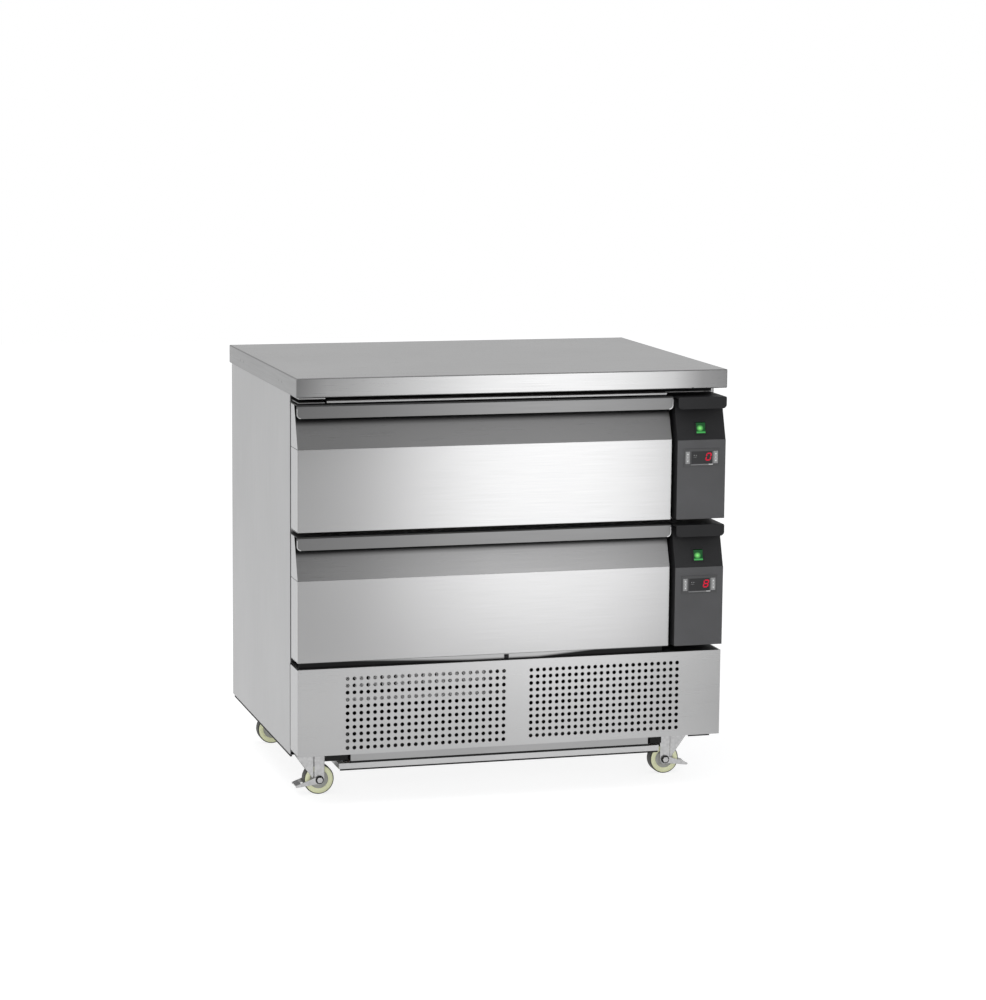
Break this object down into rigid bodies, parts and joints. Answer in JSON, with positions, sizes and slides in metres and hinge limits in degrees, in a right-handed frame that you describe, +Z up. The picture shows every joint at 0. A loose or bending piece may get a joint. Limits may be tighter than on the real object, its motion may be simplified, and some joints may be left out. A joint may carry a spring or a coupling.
{
  "type": "refrigerated drawer counter",
  "caption": "Refrigerated counter on castors with insulated drawers under a steel worktop, control housings at the right and a perforated machine grille.",
  "frame": {"origin": "on the floor under the middle of the counter's overall box", "axes": "+Z up, +X to the right along the front, +Y from the front to the back"},
  "size_m": [0.89, 0.693, 0.863],
  "materials": {
    "worktop_steel": "brushed stainless steel, satin",
    "side_steel": "stainless steel sheet, satin",
    "back_steel": "galvanised sheet, dull",
    "frame_steel": "stainless steel, satin",
    "front_steel": "brushed stainless steel, grain across the width",
    "handle_steel": "brushed stainless steel, satin",
    "grille_steel": "perforated stainless steel, satin",
    "foam": "rigid polyurethane foam",
    "liner_steel": "food grade stainless steel, satin",
    "fin_aluminium": "rolled fins",
    "fan_plastic": "glass filled black plastic",
    "chassis_steel": "galvanised steel, dull",
    "pan_steel": "galvanised steel, dull",
    "compressor_paint": "black enamel",
    "pipe_copper": "soft copper",
    "box_plastic": "moulded black plastic",
    "housing_plastic": "moulded black plastic, satin",
    "face_plate_grey": "dark grey film, satin",
    "display_window": "smoked window, glossy",
    "key_grey": "grey rubber keys",
    "rocker_green": "lit green plastic",
    "gasket_rubber": "magnetic door seal, black",
    "runner_steel": "stainless steel channel",
    "castor_zinc": "bright zinc plate",
    "wheel_resin": "cream nylon wheel"
  },
  "bodies": {
    "cabinet": {"worktop": "worktop_steel", "left_side_panel": "side_steel", "right_side_panel": "side_steel", "back_panel": "back_steel", "front_frame": "frame_steel", "insulation_walls": "foam", "insulation_slabs": "foam", "insulation_back": "foam", "compartment_liners": "liner_steel", "duct_panels": "liner_steel", "evaporators": "fin_aluminium", "fan_frames": "fan_plastic", "chassis": "chassis_steel", "base_pan": "pan_steel", "grille_panel": "grille_steel", "compressors": "compressor_paint", "condensers": "fin_aluminium", "refrigerant_lines": "pipe_copper", "electrical_box": "box_plastic", "power_inlet": "box_plastic", "control_housings": "housing_plastic", "face_plates": "face_plate_grey", "controllers": "housing_plastic", "display_windows": "display_window", "cabinet_runners": "runner_steel", "castor_plates": "castor_zinc"},
    "lower_drawer": {"lower_drawer_front": "front_steel", "lower_drawer_handle": "handle_steel", "lower_drawer_inner_panel": "foam", "lower_drawer_gasket": "gasket_rubber", "lower_drawer_box": "liner_steel", "lower_drawer_runners": "runner_steel"},
    "lower_middle_runner": {"lower_middle_runners": "runner_steel"},
    "lower_rocker": {"lower_switch": "rocker_green"},
    "lower_left_key": {"lower_left_keys": "key_grey"},
    "lower_right_key": {"lower_right_keys": "key_grey"},
    "upper_drawer": {"upper_drawer_front": "front_steel", "upper_drawer_handle": "handle_steel", "upper_drawer_inner_panel": "foam", "upper_drawer_gasket": "gasket_rubber", "upper_drawer_box": "liner_steel", "upper_drawer_runners": "runner_steel"},
    "upper_middle_runner": {"upper_middle_runners": "runner_steel"},
    "upper_rocker": {"upper_switch": "rocker_green"},
    "upper_left_key": {"upper_left_keys": "key_grey"},
    "upper_right_key": {"upper_right_keys": "key_grey"},
    "front_left_fork": {"front_left_castor_fork": "castor_zinc"},
    "front_left_wheel": {"front_left_castor_wheel": "wheel_resin"},
    "front_left_pedal": {"front_left_brake_pedal": "castor_zinc"},
    "front_right_fork": {"front_right_castor_fork": "castor_zinc"},
    "front_right_wheel": {"front_right_castor_wheel": "wheel_resin"},
    "front_right_pedal": {"front_right_brake_pedal": "castor_zinc"},
    "rear_left_fork": {"rear_left_castor_fork": "castor_zinc"},
    "rear_left_wheel": {"rear_left_castor_wheel": "wheel_resin"},
    "rear_right_fork": {"rear_right_castor_fork": "castor_zinc"},
    "rear_right_wheel": {"rear_right_castor_wheel": "wheel_resin"},
    "lower_evaporator_fan_rotor": {"lower_evaporator_fan": "fan_plastic"},
    "upper_evaporator_fan_rotor": {"upper_evaporator_fan": "fan_plastic"},
    "left_condenser_fan_rotor": {"left_condenser_fan": "fan_plastic"},
    "right_condenser_fan_rotor": {"right_condenser_fan": "fan_plastic"}
  },
  "joints": [
    {"name": "lower_drawer_slide", "type": "slide", "parent": "cabinet", "child": "lower_drawer", "axis": [0, -1, 0], "range_m": [0, 0.53]},
    {"name": "lower_middle_slide", "type": "slide", "parent": "cabinet", "child": "lower_middle_runner", "axis": [0, -1, 0], "range_m": [0, 0.265]},
    {"name": "lower_rocker_tilt", "type": "hinge", "parent": "cabinet", "child": "lower_rocker", "pos_m": [0.38575, -0.33176, 0.48543], "axis": [-1, 0, 0], "range_deg": [0, 16]},
    {"name": "lower_left_key_press", "type": "slide", "parent": "cabinet", "child": "lower_left_key", "axis": [0, 1, 0], "range_m": [0, 0.0006], "stiffness_N_per_m": 1500, "springref_m": -0.0004},
    {"name": "lower_right_key_press", "type": "slide", "parent": "cabinet", "child": "lower_right_key", "axis": [0, 1, 0], "range_m": [0, 0.0006], "stiffness_N_per_m": 1500, "springref_m": -0.0004},
    {"name": "upper_drawer_slide", "type": "slide", "parent": "cabinet", "child": "upper_drawer", "axis": [0, -1, 0], "range_m": [0, 0.53]},
    {"name": "upper_middle_slide", "type": "slide", "parent": "cabinet", "child": "upper_middle_runner", "axis": [0, -1, 0], "range_m": [0, 0.265]},
    {"name": "upper_rocker_tilt", "type": "hinge", "parent": "cabinet", "child": "upper_rocker", "pos_m": [0.38575, -0.33176, 0.74543], "axis": [-1, 0, 0], "range_deg": [0, 16]},
    {"name": "upper_left_key_press", "type": "slide", "parent": "cabinet", "child": "upper_left_key", "axis": [0, 1, 0], "range_m": [0, 0.0006], "stiffness_N_per_m": 1500, "springref_m": -0.0004},
    {"name": "upper_right_key_press", "type": "slide", "parent": "cabinet", "child": "upper_right_key", "axis": [0, 1, 0], "range_m": [0, 0.0006], "stiffness_N_per_m": 1500, "springref_m": -0.0004},
    {"name": "front_left_swivel", "type": "hinge", "parent": "cabinet", "child": "front_left_fork", "pos_m": [-0.398, -0.1845, 0.088], "axis": [0, 0, 1], "continuous": true},
    {"name": "front_left_roll", "type": "hinge", "parent": "front_left_fork", "child": "front_left_wheel", "pos_m": [-0.37, -0.1845, 0.031], "axis": [0, 1, 0], "continuous": true},
    {"name": "front_left_brake", "type": "hinge", "parent": "front_left_fork", "child": "front_left_pedal", "pos_m": [-0.37, -0.1845, 0.031], "axis": [0, 1, 0], "range_deg": [0, 20]},
    {"name": "front_right_swivel", "type": "hinge", "parent": "cabinet", "child": "front_right_fork", "pos_m": [0.398, -0.1845, 0.088], "axis": [0, 0, 1], "continuous": true},
    {"name": "front_right_roll", "type": "hinge", "parent": "front_right_fork", "child": "front_right_wheel", "pos_m": [0.37, -0.1845, 0.031], "axis": [0, 1, 0], "continuous": true},
    {"name": "front_right_brake", "type": "hinge", "parent": "front_right_fork", "child": "front_right_pedal", "pos_m": [0.37, -0.1845, 0.031], "axis": [0, -1, 0], "range_deg": [0, 20]},
    {"name": "rear_left_swivel", "type": "hinge", "parent": "cabinet", "child": "rear_left_fork", "pos_m": [-0.398, 0.2765, 0.088], "axis": [0, 0, 1], "continuous": true},
    {"name": "rear_left_roll", "type": "hinge", "parent": "rear_left_fork", "child": "rear_left_wheel", "pos_m": [-0.37, 0.2765, 0.031], "axis": [0, 1, 0], "continuous": true},
    {"name": "rear_right_swivel", "type": "hinge", "parent": "cabinet", "child": "rear_right_fork", "pos_m": [0.398, 0.2765, 0.088], "axis": [0, 0, 1], "continuous": true},
    {"name": "rear_right_roll", "type": "hinge", "parent": "rear_right_fork", "child": "rear_right_wheel", "pos_m": [0.37, 0.2765, 0.031], "axis": [0, 1, 0], "continuous": true},
    {"name": "lower_evaporator_fan_spin", "type": "hinge", "parent": "cabinet", "child": "lower_evaporator_fan_rotor", "pos_m": [0.29, -0.1695, 0.4742], "axis": [1, 0, 0], "continuous": true},
    {"name": "upper_evaporator_fan_spin", "type": "hinge", "parent": "cabinet", "child": "upper_evaporator_fan_rotor", "pos_m": [0.29, -0.1695, 0.7342], "axis": [1, 0, 0], "continuous": true},
    {"name": "left_condenser_fan_spin", "type": "hinge", "parent": "cabinet", "child": "left_condenser_fan_rotor", "pos_m": [-0.172, -0.1985, 0.1695], "axis": [0, 1, 0], "continuous": true},
    {"name": "right_condenser_fan_spin", "type": "hinge", "parent": "cabinet", "child": "right_condenser_fan_rotor", "pos_m": [0.172, -0.1985, 0.1695], "axis": [0, 1, 0], "continuous": true}
  ],
  "couplings": [
    {"joint": "lower_middle_slide", "follows": "lower_drawer_slide", "ratio": 0.5},
    {"joint": "upper_middle_slide", "follows": "upper_drawer_slide", "ratio": 0.5}
  ]
}
